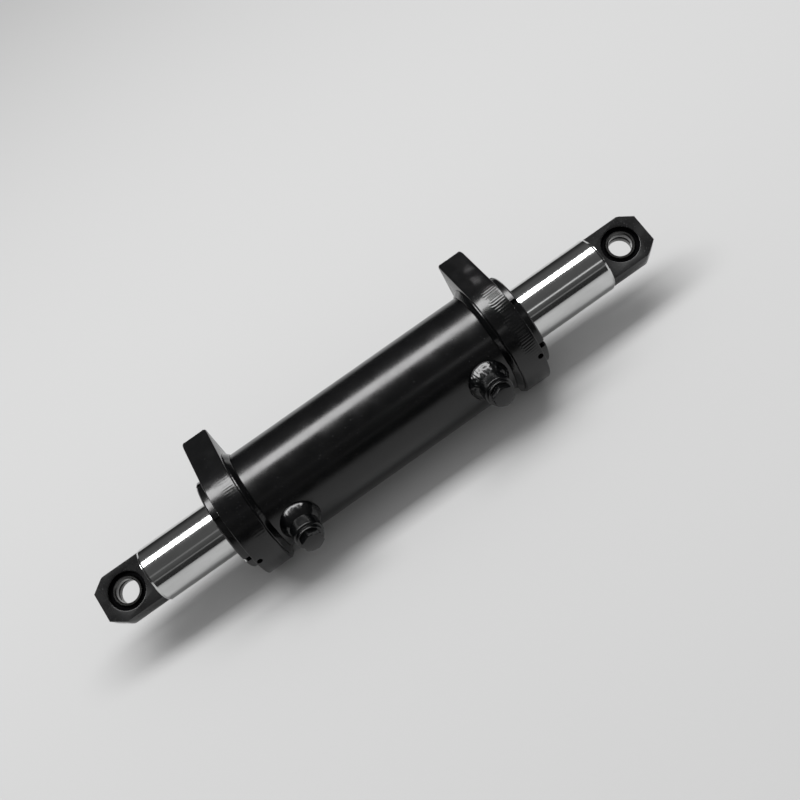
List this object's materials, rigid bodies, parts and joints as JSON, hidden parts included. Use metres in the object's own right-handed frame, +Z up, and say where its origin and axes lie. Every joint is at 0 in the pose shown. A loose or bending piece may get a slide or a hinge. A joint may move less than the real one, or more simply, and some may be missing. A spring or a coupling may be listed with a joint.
{
  "type": "double-rod hydraulic steering cylinder",
  "caption": "Double-rod hydraulic cylinder: black barrel between two welded bracket plates, through chrome rod, flat bearing eyes at both ends and plugged ports.",
  "frame": {"origin": "bottom centre of the bounding box, on the surface the two bracket plates rest on", "axes": "+X along the rod, +Y towards the plates' mounting faces, +Z up; the ports point to -Y"},
  "size_m": [0.5536, 0.132, 0.108],
  "materials": {
    "black_paint": "satin black paint",
    "chrome": "ground and polished hard chrome; the eyes are painted black",
    "bearing_steel": "ground steel",
    "blackened_steel": "phosphated",
    "bronze": "bronze-filled guide strip",
    "urethane": "moulded",
    "black_rubber": "matte",
    "copper": "soft copper"
  },
  "bodies": {
    "barrel": {"barrel_tube": "black_paint", "left_bracket": "black_paint", "left_bracket_weld": "black_paint", "left_port_boss": "black_paint", "left_port_weld": "black_paint", "left_port_seal": "copper", "left_port_plug": "black_paint", "left_gland": "black_paint", "left_gland_oring": "black_rubber", "left_gland_backup_ring": "urethane", "left_rod_bush": "bronze", "left_rod_seal": "urethane", "left_rod_wiper": "black_rubber", "left_gland_lock_screw": "blackened_steel", "right_bracket": "black_paint", "right_bracket_weld": "black_paint", "right_port_boss": "black_paint", "right_port_weld": "black_paint", "right_port_seal": "copper", "right_port_plug": "black_paint", "right_gland": "black_paint", "right_gland_oring": "black_rubber", "right_gland_backup_ring": "urethane", "right_rod_bush": "bronze", "right_rod_seal": "urethane", "right_rod_wiper": "black_rubber", "right_gland_lock_screw": "blackened_steel"},
    "piston": {"piston": "bearing_steel", "piston_seal": "urethane", "piston_bore_oring": "black_rubber", "left_piston_wear_ring": "bronze", "right_piston_wear_ring": "bronze"},
    "rod": {"piston_rod": "chrome", "left_piston_retaining_ring": "bearing_steel", "right_piston_retaining_ring": "bearing_steel", "left_bearing_outer_ring": "bearing_steel", "left_circlip": "blackened_steel", "right_bearing_outer_ring": "bearing_steel", "right_circlip": "blackened_steel"},
    "left_ball": {"left_bearing_inner_ring": "bearing_steel"},
    "right_ball": {"right_bearing_inner_ring": "bearing_steel"}
  },
  "joints": [
    {"name": "piston_slide", "type": "slide", "parent": "barrel", "child": "piston", "axis": [1, 0, 0], "range_m": [-0.0765, 0.0675]},
    {"name": "rod_turn", "type": "hinge", "parent": "piston", "child": "rod", "pos_m": [0, 0.00946, 0.054], "axis": [1, 0, 0], "continuous": true},
    {"name": "left_eye_swivel", "type": "hinge", "parent": "rod", "child": "left_ball", "pos_m": [-0.252, 0.00946, 0.054], "axis": [0, -0.5, 0.866], "continuous": true},
    {"name": "right_eye_swivel", "type": "hinge", "parent": "rod", "child": "right_ball", "pos_m": [0.252, 0.00946, 0.054], "axis": [0, -0.5, 0.866], "continuous": true}
  ]
}
